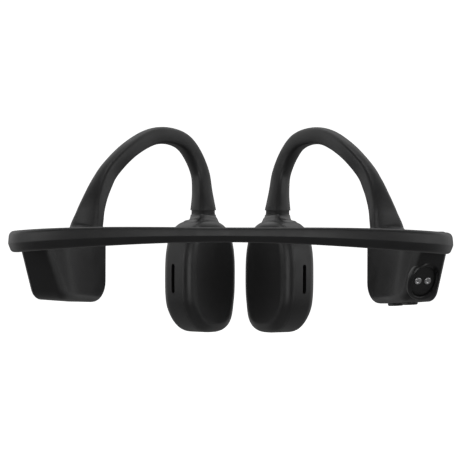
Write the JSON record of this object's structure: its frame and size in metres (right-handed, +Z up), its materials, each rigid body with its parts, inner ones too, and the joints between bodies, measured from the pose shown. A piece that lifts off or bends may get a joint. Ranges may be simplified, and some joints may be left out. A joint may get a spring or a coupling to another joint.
{
  "type": "bone conduction headphones",
  "caption": "Open-ear bone conduction headphones: a sprung neckband joins two arms, each with a rear pod, an ear hook and an angled speaker pod.",
  "frame": {"origin": "midway between the undersides of the two ear hooks at their highest, where they rest on the tops of the ears", "axes": "+Z up as worn, +Y the wearer's front, +X the wearer's right, the side with the charging contacts"},
  "size_m": [0.1284, 0.1109, 0.0653],
  "materials": {
    "silicone": "matt black silicone, soft touch",
    "shell": "satin black moulded plastic",
    "pad": "matt black soft pad",
    "titanium": "bare titanium alloy spring wire",
    "lead": "black insulated lead",
    "board": "green solder mask",
    "chip": "black moulded package",
    "cell": "foil pouch",
    "foam": "black closed-cell foam",
    "steel": "pressed steel",
    "magnet": "nickel-plated magnet",
    "copper": "enamelled copper",
    "contact": "plated contact",
    "lens": "milky light pipe",
    "mesh": "black woven mesh",
    "gasket": "dark red seal"
  },
  "bodies": {
    "neckband": {"centre_band_sleeve": "silicone", "centre_band_wire": "titanium", "centre_band_lead": "lead"},
    "right_arm": {"right_band_sleeve": "silicone", "right_band_wire": "titanium", "right_band_lead": "lead", "right_pod_shell": "shell", "right_pod_cover": "shell", "right_pod_seal": "gasket", "right_hook_sleeve": "silicone", "right_hook_wire": "titanium", "right_hook_lead": "lead", "right_speaker_shell": "shell", "right_speaker_pad": "pad", "right_driver_plate": "steel", "right_driver_yoke": "steel", "right_driver_magnet": "magnet", "right_driver_coil": "copper", "right_sound_mesh": "mesh", "right_microphone": "chip", "charge_insert": "pad", "charge_pin_inner": "contact", "charge_pin_outer": "contact", "charge_magnet": "magnet", "main_board": "board", "radio_chip": "chip", "aerial": "copper", "volume_up_switch": "chip", "volume_down_switch": "chip", "status_light": "lens"},
    "left_arm": {"left_band_sleeve": "silicone", "left_band_wire": "titanium", "left_band_lead": "lead", "left_pod_shell": "shell", "left_pod_cover": "shell", "left_pod_seal": "gasket", "left_hook_sleeve": "silicone", "left_hook_wire": "titanium", "left_hook_lead": "lead", "left_speaker_shell": "shell", "left_speaker_pad": "pad", "left_driver_plate": "steel", "left_driver_yoke": "steel", "left_driver_magnet": "magnet", "left_driver_coil": "copper", "left_sound_mesh": "mesh", "left_microphone": "chip", "battery_cell": "cell", "battery_foam": "foam", "battery_board": "board", "action_switch": "chip"},
    "volume_up": {"volume_up_button": "silicone"},
    "volume_down": {"volume_down_button": "silicone"},
    "action": {"action_button": "silicone"}
  },
  "joints": [
    {"name": "right_flex", "type": "hinge", "parent": "neckband", "child": "right_arm", "pos_m": [0.03112, -0.09109, -0.02909], "axis": [0, 0, -1], "range_deg": [0, 32], "stiffness_Nm_per_rad": 0.18},
    {"name": "left_flex", "type": "hinge", "parent": "neckband", "child": "left_arm", "pos_m": [-0.03112, -0.09109, -0.02909], "axis": [0, 0, 1], "range_deg": [0, 32], "stiffness_Nm_per_rad": 0.18},
    {"name": "volume_up_press", "type": "slide", "parent": "right_arm", "child": "volume_up", "axis": [-0.026, 0.0585, 0.9979], "range_m": [0, 0.0004], "stiffness_N_per_m": 3000},
    {"name": "volume_down_press", "type": "slide", "parent": "right_arm", "child": "volume_down", "axis": [-0.026, 0.0585, 0.9979], "range_m": [0, 0.0004], "stiffness_N_per_m": 3000},
    {"name": "action_press", "type": "slide", "parent": "left_arm", "child": "action", "axis": [0.766, -0.6428, 0], "range_m": [0, 0.0004], "stiffness_N_per_m": 3000}
  ]
}
